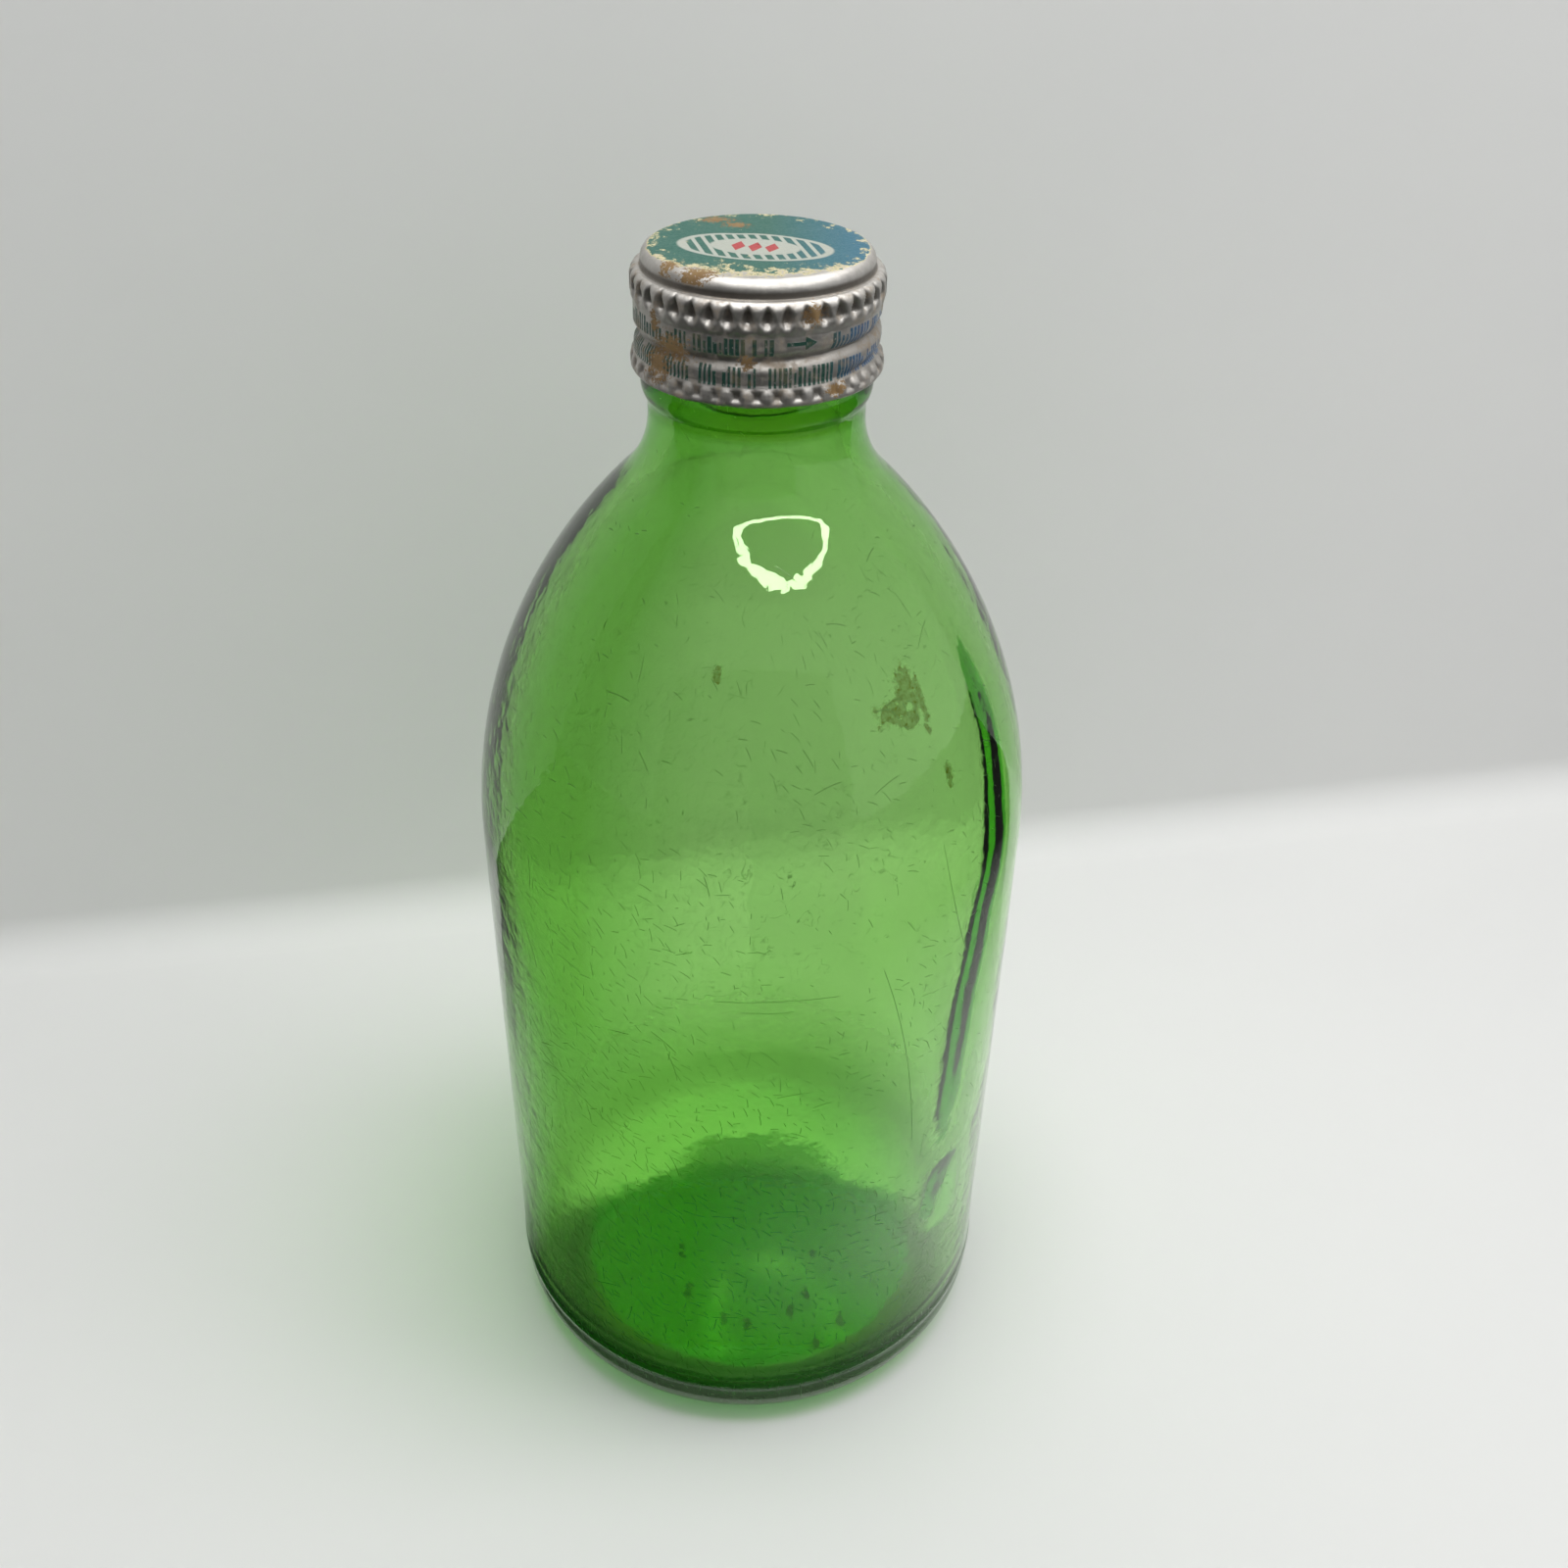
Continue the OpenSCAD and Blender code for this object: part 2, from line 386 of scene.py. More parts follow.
def crimp(angle, z):
    """Small dents of the tool that closed the hem under the bead of glass."""
    up = (z - CRIMP_FOOT) / CRIMP_H
    if not 0 < up < 1:
        return 0.0
    number = angle * CRIMPS / (2 * math.pi)
    side = abs(number - round(number)) * 2
    strength = 0.85 + 0.5 * noise.noise(Vector((round(number) * 5.3, 4, 2)))
    return CRIMP_DEPTH * strength * (1 - smooth_step(0.25, 0.8, side)) * math.sin(math.pi * up) ** 0.7


def cap_outline():
    """Outer face of the sheet, from the middle of the deck down to the hem's edge."""
    edge = arc((CROWN_R - DECK_EDGE_R, DECK_Z - DECK_EDGE_R), DECK_EDGE_R, 90, 0, 9)
    wall_foot = DECK_Z - GROOVE_DROP + GROOVE_R
    groove = arc((CROWN_R + GROOVE_R, wall_foot), GROOVE_R, 180, 262, 12)
    shelf = groove[-1][1]
    rounding = arc((SKIRT_R - 0.7, shelf - 0.7), 0.7, 84, 0, 10)
    path = [(0.02, DECK_Z), (CROWN_R - DECK_EDGE_R, DECK_Z)] + edge + groove + rounding
    path += [(SKIRT_R, KNURL_FOOT + 0.5), (SKIRT_R - 0.08, KNURL_FOOT + 0.1), (BAND_R, KNURL_FOOT - 0.5)]
    path += [(BAND_R, HEM_TOP + 0.4), (BAND_R + 0.12, HEM_TOP), (HEM_OUT_R - 0.08, HEM_TOP - 0.5)]
    path += [(HEM_OUT_R, HEM_TOP - 0.9), (HEM_OUT_R, HEM_EDGE + 0.2), (HEM_OUT_R - 0.15, HEM_EDGE)]
    return spaced(path, 0.15)


def cap_form(r, z, angle):
    around = Vector((math.cos(angle), math.sin(angle), 0.0))
    dent = 0.05 * noise.noise(around * 2.2 + Vector((0, 0, z * 0.3)))
    dent += 0.03 * noise.noise(around * 14 + Vector((0, 0, z * 1.1)))
    if z > DECK_Z - 0.01:
        sunk = 0.09 * noise.noise(Vector((r * math.cos(angle) * 0.22, r * math.sin(angle) * 0.22, 3.0)))
        return r, z + min(0.0, sunk) * smooth_step(0, 3, CROWN_R - r)
    skirt = smooth_step(DECK_Z - GROOVE_DROP, DECK_Z - GROOVE_DROP - 0.8, z)
    r += dent * (0.4 + skirt)
    r -= thread_valley(angle, z) + knurl(angle, z) + crimp(angle, z)
    if z < HEM_EDGE + 0.6:
        z += 0.1 * noise.noise(around * 5) * (1 - (z - HEM_EDGE) / 0.6)
    return r, z


def hollow_dirt_and_shade(r, z, angle):
    """Where dirt lies in the hollows, with painted shade: the upper part of each dimple, the groove and the
    valleys. 0 to 1.
    """
    up = (z - KNURL_FOOT) / KNURL_H
    dirt = knurl(angle, z) / KNURL_DEPTH * smooth_step(0.2, 0.5, up)
    dirt = max(dirt, 0.55 * thread_valley(angle, z + 0.35) / VALLEY_DEPTH)
    dirt = max(dirt, 0.6 * crimp(angle, z - 0.3) / CRIMP_DEPTH)
    wall = smooth_step(DECK_Z - 0.85, DECK_Z - 1.2, z) * (1 - smooth_step(CROWN_R + 0.15, CROWN_R + 0.5, r))
    return max(dirt, 0.8 * wall)


def make_cap(material):
    path = cap_outline()
    points, faces = lathe(path, CAP_COLUMNS, cap_form)
    # Per point, the share of dirt and painted shade in the hollows
    dirt = []
    for r, z in path:
        dirt += [hollow_dirt_and_shade(r, z, 2 * math.pi * i / CAP_COLUMNS) for i in range(CAP_COLUMNS)]
    middle = len(points)
    points.append((0.0, 0.0, points[0][2]))
    faces += [(i, (i + 1) % CAP_COLUMNS, middle) for i in range(CAP_COLUMNS)]
    cap = mesh_piece("cap_rolled_sheet", points, faces, material, "cap")
    dirt_and_shade = cap.data.attributes.new("dirt_and_painted_shade", "FLOAT", "POINT")
    dirt_and_shade.data.foreach_set("value", dirt + [0.0])
    thick = cap.modifiers.new("sheet", "SOLIDIFY")
    thick.thickness = SHEET_T * MM
    thick.offset = -1
    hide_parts("cap_shell")
    return cap


# ---------------------------------------------------------------- materials
def in_millimetres(tree):
    """Where the piece is being shaded, in millimetres: its place, the same seen from above, the distance
    from the axis, the angle round from the front, and x, y and z."""
    place = add(tree, "TexCoord", out="Object")
    place = add(tree, "VectorMath", (place, (1 / MM, 1 / MM, 1 / MM)), operation="MULTIPLY")
    x, y, z = add(tree, "SeparateXYZ", (place,)).node.outputs
    flat = add(tree, "CombineXYZ", (x, y, 0))
    out = add(tree, "VectorMath", (flat,), out="Value", operation="LENGTH")
    behind = add(tree, "Math", (y, -1), operation="MULTIPLY")
    angle = add(tree, "Math", (x, behind), operation="ARCTAN2")
    return place, flat, out, angle, (x, y, z)


def within(tree, share, *limits):
    """Narrows a mask to where each value is past its limits: none at the first, all at the second."""
    for value, none, whole in limits:
        part = add(tree, "MapRange", {"Value": value, "From Min": none, "From Max": whole})
        share = add(tree, "Math", (share, part), operation="MULTIPLY")
    return share


def blot(tree, skin, centre, size, ragged):
    """A ragged round mark on a flat or unrolled surface: 1 inside, 0 outside."""
    off = add(tree, "VectorMath", (skin, (*centre, 0)), operation="SUBTRACT")
    off = add(tree, "VectorMath", (off, (1 / size[0], 1 / size[1], 0)), operation="MULTIPLY")
    off = add(tree, "VectorMath", (off,), out="Value", operation="LENGTH")
    off = add(tree, "Math", (off, ragged), operation="ADD")
    return add(tree, "MapRange", {"Value": off, "From Min": 1.12, "From Max": 0.75})


def blots(tree, skin, spots, ragged):
    """Several blots in one mask. Each spot is its centre and its two half sizes, in millimetres."""
    mask = 0.0
    for centre, size in spots:
        spot = blot(tree, skin, centre, size, ragged)
        mask = add(tree, "Math", (mask, spot), operation="MAXIMUM")
    return mask


# The soft edge of a scratch ends at this share of its half width
CORE = 0.2


def scratches(tree, skin, cell, lean, spread, length, width, share):
    """Short scuffs, one at most to a cell of the skin. Sizes are in millimetres, angles in radians."""
    shifted = add(tree, "VectorMath", (skin, (cell * 41, cell * 17, 0)), operation="ADD")
    cells = add(tree, "TexVoronoi", {"Vector": shifted, "Scale": 1 / cell}, voronoi_dimensions="2D").node
    off = add(tree, "VectorMath", (shifted, cells.outputs["Position"]), operation="SUBTRACT")
    one, two, three = add(tree, "SeparateColor", (cells.outputs["Color"],)).node.outputs
    turn = add(tree, "MapRange", {"Value": one, "To Min": -lean - spread, "To Max": spread - lean})
    turned = add(tree, "VectorRotate", {"Vector": off, "Angle": turn}, rotation_type="Z_AXIS")
    along, across, _ = add(tree, "SeparateXYZ", (turned,)).node.outputs
    bow = add(tree, "Math", (along, along), operation="MULTIPLY")
    bow = add(tree, "Math", (bow, 0.16 / cell, across), operation="MULTIPLY_ADD")
    near = add(tree, "Math", (bow,), operation="ABSOLUTE")
    run = add(tree, "Math", (along,), operation="ABSOLUTE")
    half = add(tree, "MapRange", {"Value": two, "To Min": length * 0.12, "To Max": length * 0.5})
    run = add(tree, "Math", (half, run), operation="SUBTRACT")
    there = add(tree, "Math", (three, share), operation="LESS_THAN")
    return within(tree, there, (near, width, width * CORE), (run, 0.0, length * 0.12))


def long_scratch(tree, skin, start, end, bow, width):
    """One long scratch from start to end that bows to one side."""
    length = math.dist(start, end)
    turn = math.atan2(end[1] - start[1], end[0] - start[0])
    off = add(tree, "VectorMath", (skin, (*start, 0)), operation="SUBTRACT")
    off = add(tree, "VectorRotate", {"Vector": off, "Angle": -turn}, rotation_type="Z_AXIS")
    along, across, _ = add(tree, "SeparateXYZ", (off,)).node.outputs
    share = add(tree, "MapRange", {"Value": along, "From Max": length})
    left = add(tree, "Math", (1, share), operation="SUBTRACT")
    hump = add(tree, "Math", (share, left), operation="MULTIPLY")
    near = add(tree, "Math", (hump, -4 * bow, across), operation="MULTIPLY_ADD")
    near = add(tree, "Math", (near,), operation="ABSOLUTE")
    return within(tree, 1.0, (near, width, width * CORE), (hump, 0.0, 0.05))


# Dried drink inside the shoulder: angle round from the front in degrees, height, and half sizes in mm
DRIED_DRINK = (((40.0, 121.4), (2.4, 2.6)), ((34.5, 119.4), (3.0, 1.5)), ((38.5, 118.3), (2.6, 1.1)),
               ((46.5, 110.2), (0.7, 1.6)), ((-9.5, 125.2), (0.7, 0.9)), ((43.5, 119.6), (0.8, 3.4)))
# Seeds: small bubbles in the glass, in degrees round from the front and height
SEEDS = ((19.2, 127.7), (20.1, 102.0), (-45.0, 126.9), (-12.0, 93.0), (31.0, 74.0), (-27.0, 60.0))
# Long scratches: both ends as mm round from the front and height, and the bow in mm
LONG_SCRATCHES = (((-4.6, 86.4), (11.5, 86.2), 0.3), ((-1.4, 84.9), (5.5, 84.8), -0.15),
                  ((16.6, 89.6), (24.0, 53.4), 1.3), ((26.0, 104.0), (31.5, 84.0), -0.8),
                  ((-33.0, 66.0), (-15.0, 57.0), 0.9))
# Raised bars left by the mould's bottom plate, in a broken circle that spells nothing: x, y in mm
BASE_BARS = ((-10.4, -7.6), (-9.0, -14.4), (-3.5, -18.9), (0.0, -19.5), (6.6, -17.2), (9.0, -14.4),
             (10.4, -7.6), (10.6, -22.1), (14.3, -17.8))
# Half sizes of a seed and of a bar, in mm
SEED_HALF = (0.45, 0.6)
BAR_HALF = (0.6, 1.1)
# In red, green and blue, this depth of glass in mm has an optical depth of one less the tint's share
TINT_DEPTH = 2.5
GLASS_TINT = (0.52, 0.85, 0.257, 1.0)
GLASS_IOR = 1.52


def floor_shades(tree, inside, flat, x, y, z, ragged):
    """Painted shade of the floor: its thick front part, the ring round that and a dark spot behind, and a
    pale, milky part of painted light at its back.
    """
    wide = add(tree, "Math", (x, 1 / 26), operation="MULTIPLY")
    deep = add(tree, "Math", (y, 1 / 14.5, 12 / 14.5), operation="MULTIPLY_ADD")
    reach = add(tree, "Math", (ragged, 0.08), operation="MULTIPLY")
    for side in (wide, deep):
        side = add(tree, "Math", (side,), operation="ABSOLUTE")
        side = add(tree, "Math", (side, 3.0), operation="POWER")
        reach = add(tree, "Math", (reach, side), operation="ADD")
    disc = within(tree, 1.0, (reach, 1.2, 0.82))
    beyond = add(tree, "Math", (1, disc), operation="SUBTRACT")
    ring = within(tree, beyond, (reach, 2.9, 1.3))
    soft = add(tree, "Math", (ragged, 0.35), operation="MULTIPLY")
    painted_shadow_patch = blot(tree, flat, (2.0, 10.5), (15.0, 9.5), soft)
    back = add(tree, "MapRange", {"Value": y, "From Min": -14.0, "From Max": 2.0, "To Max": 0.9})
    clear = add(tree, "Math", (painted_shadow_patch, -0.55, 1.0), operation="MULTIPLY_ADD")
    painted_light_haze = add(tree, "Math", (back, clear), operation="MULTIPLY")
    shades = [within(tree, shade, (z, 16.0, 13.0)) for shade in (disc, ring, painted_shadow_patch)]
    shades.append(within(tree, painted_light_haze, (reach, 1.4, 3.4), (z, 30.0, 11.0)))
    return [add(tree, "Math", (shade, inside), operation="MULTIPLY") for shade in shades]


def scuffs(tree, place, skin, round_mm, z):
    """How scuffed the skin is, most low down and to the left, and the scratches in it. Real ones are a
    few hundredths of a millimetre wide, and these are drawn wider, so that they show."""
    patches = add(tree, "TexNoise", {"Vector": place, "Scale": 0.06, "Detail": 3.0, "Roughness": 0.6})
    to_left = add(tree, "MapRange", {"Value": round_mm, "From Min": 24.0, "From Max": -30.0,
                                     "To Min": 0.22, "To Max": 1.0})
    scuffed = within(tree, to_left, (z, 118.0, 66.0))
    scuffed = add(tree, "Math", (scuffed, 0.42, patches), operation="MULTIPLY_ADD")
    dense = add(tree, "MapRange", {"Value": scuffed, "From Min": 0.52, "From Max": 0.74,
                                   "To Min": 0.06, "To Max": 0.95})
    fair = add(tree, "Math", (dense, 0.45), operation="MULTIPLY")
    marks = scratches(tree, skin, 1.7, -0.75, 0.95, 2.3, 0.065, dense)
    lines = [scratches(tree, skin, 4.4, -0.6, 1.2, 6.0, 0.075, fair)]
    lines += [long_scratch(tree, skin, start, end, bow, 0.075) for start, end, bow in LONG_SCRATCHES]
    for line in lines:
        marks = add(tree, "Math", (marks, line), operation="MAXIMUM")
    return scuffed, marks


def round_side(degrees):
    return math.radians(degrees) * BODY_R


def dried_drink(tree, place, skin, inside, ragged):
    """Ragged spots of dried drink on the inside of the glass, thin in places."""
    spots = [((round_side(around), height), size) for (around, height), size in DRIED_DRINK]
    dried = blots(tree, skin, spots, ragged)
    thin = add(tree, "TexNoise", {"Vector": place, "Scale": 1.4, "Detail": 5.0, "Roughness": 0.7})
    thin = add(tree, "MapRange", {"Value": thin, "From Min": 0.38, "From Max": 0.62,
                                  "To Min": 0.6, "To Max": 1.0})
    for share in (inside, thin):
        dried = add(tree, "Math", (dried, share), operation="MULTIPLY")
    return dried


def pale_film_painted_light(tree, outside, round_mm, z):
    """Painted light: a thin pale film low on the right of the outside, weaker near the heel."""
    foot = add(tree, "MapRange", {"Value": z, "From Min": 18.0, "From Max": 34.0, "To Min": 0.2})
    foot = add(tree, "Math", (foot, outside), operation="MULTIPLY")
    return within(tree, foot, (round_mm, -8.0, 26.0), (z, 88.0, 40.0))


def blown_green_glass():
    """Soda-lime glass coloured with chrome and blown in a mould. It is clear yellow-green and deepens
    with its thickness. Its skin is scuffed from refilling, and drink dried inside. Painted light makes it
    milky low down, and painted shade darkens its floor, heel, left side and the glass under the cap."""
    material, tree = new_material("blown_green_soda_lime_glass")
    place, flat, out, angle, (x, y, z) = in_millimetres(tree)
    round_mm = add(tree, "Math", (angle, BODY_R), operation="MULTIPLY")
    skin = add(tree, "CombineXYZ", (round_mm, z, 0))
    inside = add(tree, "Attribute", out="Fac", attribute_name="inside")
    outside = add(tree, "Math", (1, inside), operation="SUBTRACT")
    ragged = add(tree, "TexNoise", {"Vector": place, "Scale": 0.9, "Detail": 4.0, "Roughness": 0.65})
    ragged = add(tree, "MapRange", {"Value": ragged, "From Min": 0.3, "From Max": 0.7,
                                    "To Min": -0.55, "To Max": 0.55})

    scuffed, marks = scuffs(tree, place, skin, round_mm, z)
    marks = add(tree, "Math", (marks, outside), operation="MULTIPLY")
    dried = dried_drink(tree, place, skin, inside, ragged)
    pale_right_light = pale_film_painted_light(tree, outside, round_mm, z)
    # Painted shade in the floor's disc, ring and dark spot, and painted light in its pale milky part
    deep, ring, painted_shadow_patch, painted_light_haze = floor_shades(tree, inside, flat, x, y, z, ragged)
    # Painted shade on the glass under the cap, where the cap keeps light off it
    painted_cap_shade = within(tree, 1.0, (z, 147.6, 148.6))
    # Painted shade: the body darker on its left side
    left = within(tree, inside, (round_mm, -8.0, -24.0), (round_mm, -50.0, -36.0), (z, 50.0, 76.0))
    # Painted shade: a darker grey-green band round the heel below the seam
    heel = within(tree, outside, (z, SEAM_Z - 0.4, SEAM_Z - 1.4), (out, 28.0, 30.0))
    bars = blots(tree, flat, [(centre, BAR_HALF) for centre in BASE_BARS], 0.0)
    bars = within(tree, bars, (z, 6.0, 5.0), (inside, 1.0, 0.0))
    seeds = blots(tree, skin, [((round_side(around), level), SEED_HALF) for around, level in SEEDS], 0.0)
    scum = within(tree, inside, (z, 22.0, 10.0))

    # The floor's dark tints, the one under the cap, the left one and the heel's are painted shade; the
    # floor's pale one is painted light
    colour = srgb("#ffffff")
    for share, tint in ((marks, "#4c5c42"), (deep, "#c6c60e"), (ring, "#7cac70"), (painted_shadow_patch, "#6a9860"),
                        (painted_cap_shade, "#aac864"), (left, "#aed889"), (heel, "#64845c"),
                        (painted_light_haze, "#eef4de"), (bars, "#4a683c"), (dried, "#7c5c06")):
        colour = add(tree, "Mix", {0: share, 6: colour, 7: srgb(tint)}, out=2, data_type="RGBA")
    # Where the glass loses clearness it turns milky: painted light at the floor's back and low on the right,
    # painted shade at the heel, and real dried drink
    clear = 1.0
    for share, loss in ((dried, 0.45), (painted_light_haze, 0.85), (pale_right_light, 0.12), (heel, 0.4)):
        clear = add(tree, "Math", (share, -loss, clear), operation="MULTIPLY_ADD")
    rough = add(tree, "MapRange", {"Value": scuffed, "From Min": 0.45, "From Max": 0.95,
                                   "To Min": 0.012, "To Max": 0.075})
    for share, gain in ((marks, 0.45), (dried, 0.4), (scum, 0.08)):
        rough = add(tree, "Math", (share, gain, rough), operation="MULTIPLY_ADD")
    height = add(tree, "TexNoise", {"Vector": place, "Scale": 0.28, "Detail": 2.0})
    for share, rise in ((marks, -0.05), (seeds, 0.6), (bars, 0.8)):
        height = add(tree, "Math", (share, rise, height), operation="MULTIPLY_ADD")

    relief = add(tree, "Bump", {"Strength": 0.25, "Distance": 0.0002, "Height": height})
    surface = add(tree, "BsdfPrincipled", {
        "Base Color": colour, "Roughness": rough, "IOR": GLASS_IOR, "Transmission Weight": clear,
        "Specular Tint": srgb("#e2ffcc"), "Normal": relief})
    # Light that only passes on its way to a lamp goes straight through, tinted by the glass it crosses
    let_by = add(tree, "BsdfTransparent", {"Color": srgb("#eaefe6")})
    shadow = add(tree, "LightPath", out="Is Shadow Ray")
    surface = add(tree, "MixShader", (shadow, surface, let_by))
    body = add(tree, "VolumeAbsorption", {"Color": GLASS_TINT, "Density": 1 / MM / TINT_DEPTH})
    add(tree, "OutputMaterial", {"Surface": surface, "Volume": body})
    return material


def printed_row(tree, along, z, foot, top, pitch, seed):
    """A printed row of upright strokes, whose widths, lengths and gaps vary. It spells nothing."""
    step = add(tree, "Math", (along, 1 / pitch), operation="MULTIPLY")
    number = add(tree, "Math", (step,), operation="FLOOR")
    number = add(tree, "Math", (number, seed), operation="ADD")
    wide, tall, gone = add(tree, "SeparateColor", (
        add(tree, "TexWhiteNoise", {"W": number}, out="Color", noise_dimensions="1D"),)).node.outputs
    share = add(tree, "Math", (step,), operation="FRACT")
    side = add(tree, "Math", (share, 0.5), operation="SUBTRACT")
    side = add(tree, "Math", (side,), operation="ABSOLUTE")
    half = add(tree, "MapRange", {"Value": wide, "To Min": 0.24, "To Max": 0.43})
    side = add(tree, "Math", (half, side), operation="SUBTRACT")
    short = add(tree, "Math", (tall, 0.62), operation="GREATER_THAN")
    upper = add(tree, "Math", (short, -0.55, top), operation="MULTIPLY_ADD")
    upper = add(tree, "Math", (upper, z), operation="SUBTRACT")
    lower = add(tree, "Math", (z, foot), operation="SUBTRACT")
    ends = add(tree, "Math", (upper, lower), operation="MINIMUM")
    there = add(tree, "Math", (gone, 0.10), operation="GREATER_THAN")
    return within(tree, there, (side, -0.05, 0.05), (ends, -0.05, 0.08))


def printed_arrow(tree, along, z, tail, tip, level):
    """A plain arrow that points the way the cap unscrews."""
    up = add(tree, "Math", (z, level), operation="SUBTRACT")
    up = add(tree, "Math", (up,), operation="ABSOLUTE")
    from_tip = add(tree, "Math", (tip, along), operation="SUBTRACT")
    slope = add(tree, "Math", (from_tip, 0.55), operation="MULTIPLY")
    head = add(tree, "Math", (slope, up), operation="SUBTRACT")
    head_end = add(tree, "Math", (from_tip, 1.5), operation="LESS_THAN")
    head = within(tree, head_end, (head, 0.0, 0.08))
    behind = add(tree, "Math", (from_tip, 1.3), operation="GREATER_THAN")
    start = add(tree, "Math", (along, tail), operation="GREATER_THAN")
    shaft = add(tree, "Math", (behind, start), operation="MULTIPLY")
    shaft = within(tree, shaft, (up, 0.26, 0.18))
    return add(tree, "Math", (head, shaft), operation="MAXIMUM")


# The oval's half sizes, and how far apart the ticks and the lozenges are, in mm
OVAL_X, OVAL_Y = 8.8, 5.0
TICK_PITCH, LOZENGE_PITCH = 1.35, 1.9


def deck_design(tree, place):
    """Masks of the deck's plain ornament: a pale oval, leaning ticks inside it, lozenges in a row."""
    flat = add(tree, "VectorRotate", {"Vector": place, "Angle": math.radians(10)}, rotation_type="Z_AXIS")
    flat = add(tree, "VectorMath", (flat, (0.2, 1.0, 0)), operation="ADD")
    x, y, _ = add(tree, "SeparateXYZ", (flat,)).node.outputs
    scaled = add(tree, "VectorMath", (flat, (1 / OVAL_X, 1 / OVAL_Y, 0)), operation="MULTIPLY")
    out = add(tree, "VectorMath", (scaled,), out="Value", operation="LENGTH")
    oval = within(tree, 1.0, (out, 1.02, 0.985))
    lean = add(tree, "Math", (y, 0.45, x), operation="MULTIPLY_ADD")
    lean = add(tree, "Math", (lean, 1 / TICK_PITCH), operation="MULTIPLY")
    lean = add(tree, "Math", (lean,), operation="FRACT")
    tick = add(tree, "Math", (lean, 0.5), operation="SUBTRACT")
    tick = add(tree, "Math", (tick,), operation="ABSOLUTE")
    ticks = within(tree, 1.0, (out, 0.56, 0.60), (out, 0.92, 0.88), (tick, 0.34, 0.28))
    step = add(tree, "Math", (x, 1 / LOZENGE_PITCH), operation="MULTIPLY")
    step = add(tree, "Math", (step, 0.5), operation="ADD")
    number = add(tree, "Math", (step,), operation="FLOOR")
    number = add(tree, "Math", (number,), operation="ABSOLUTE")
    few = add(tree, "Math", (number, 1.5), operation="LESS_THAN")
    step = add(tree, "Math", (step,), operation="FRACT")
    step = add(tree, "Math", (step, 0.5), operation="SUBTRACT")
    step = add(tree, "Math", (step,), operation="ABSOLUTE")
    tall = add(tree, "Math", (y,), operation="ABSOLUTE")
    lozenge = add(tree, "Math", (step, 1 / 0.42), operation="MULTIPLY")
    lozenge = add(tree, "Math", (tall, 1 / 1.7, lozenge), operation="MULTIPLY_ADD")
    return oval, ticks, within(tree, few, (lozenge, 1.03, 0.97))


# Rust and dried drink on the cap: mm round from the front and height (skirt), mm from the axis (deck)
SKIRT_STAINS = (((-10.4, 158.2), (2.4, 1.5)), ((-12.6, 156.0), (1.9, 2.2)), ((-1.2, 157.9), (0.9, 0.8)),
                ((6.2, 162.9), (1.2, 1.0)), ((9.2, 154.2), (1.5, 0.7)), ((-13.0, 160.6), (0.8, 1.2)))
DECK_STAINS = (((-6.6, -10.6), (2.2, 1.3)), ((-5.0, 9.4), (2.0, 1.1)), ((-2.6, 7.4), (1.5, 1.0)),
               ((-9.6, -7.9), (1.1, 1.0)))


def deck_lacquer(tree, place, out, x, y, speckle):
    """Teal lacquer and the ornament printed on it: its colour, where it has flaked to the primer, and
    where the sheet is bare. It comes away along the edge, and most at the front."""
    flakes = add(tree, "TexNoise", {"Vector": place, "Scale": 0.85, "Detail": 7.0, "Roughness": 0.72})
    for value, start, end, gain in ((out, 9.5, 12.6, 0.17), (y, -4.0, -11.5, 0.20),
                                    (out, 12.3, 12.85, 0.4)):
        worn = add(tree, "MapRange", {"Value": value, "From Min": start, "From Max": end, "To Max": gain})
        flakes = add(tree, "Math", (flakes, worn), operation="ADD")
    gone = within(tree, 1.0, (flakes, 0.66, 0.69))
    bare = within(tree, 1.0, (flakes, 0.74, 0.80))

    oval, ticks, lozenges = deck_design(tree, place)
    to_right = within(tree, 1.0, (x, 1.0, 11.0))
    lacquer, primer = [
        add(tree, "Mix", {0: share, 6: srgb(one), 7: srgb(other)}, out=2, data_type="RGBA")
        for share, one, other in ((to_right, "#14584a", "#1d5f74"), (speckle, "#d8cfa8", "#a89a6c"))]
    deck = lacquer
    for share, paint in ((oval, srgb("#a4a89d")), (ticks, lacquer), (lozenges, srgb("#a33234")),
                         (gone, primer)):
        deck = add(tree, "Mix", {0: share, 6: deck, 7: paint}, out=2, data_type="RGBA")
    return deck, gone, bare


# Foot and top of each printed row and its strokes' pitch, both ends of the gap in the upper one, and
# the arrow's tail, tip and height
UPPER_ROW = (DECK_Z - 7.6, DECK_Z - 5.65, 0.62)
LOWER_ROW = (DECK_Z - 11.05, DECK_Z - 8.85, 0.56)
ARROW_GAP = (1.9, 8.6)
ARROW = (3.2, 6.8, DECK_Z - 6.3)


def skirt_print(tree, along, z, on_skirt, speckle):
    """Two rows of strokes with an arrow between those of the upper one, rubbed through in specks. The
    ink turns from green to blue on the right."""
    ink = printed_row(tree, along, z, *UPPER_ROW, 11)
    lower = printed_row(tree, along, z, *LOWER_ROW, 57)
    before = add(tree, "Math", (along, ARROW_GAP[0]), operation="LESS_THAN")
    after = add(tree, "Math", (along, ARROW_GAP[1]), operation="GREATER_THAN")
    room = add(tree, "Math", (before, after), operation="MAXIMUM")
    ink = add(tree, "Math", (ink, room), operation="MULTIPLY")
    for part in (lower, printed_arrow(tree, along, z, *ARROW)):
        ink = add(tree, "Math", (ink, part), operation="MAXIMUM")
    ink = add(tree, "Math", (ink, on_skirt), operation="MULTIPLY")
    blue = within(tree, 1.0, (along, 8.0, 13.0))
    tint = add(tree, "Mix", {0: blue, 6: srgb("#084234"), 7: srgb("#1b4f78")}, out=2, data_type="RGBA")
    return within(tree, ink, (speckle, 0.32, 0.42)), tint


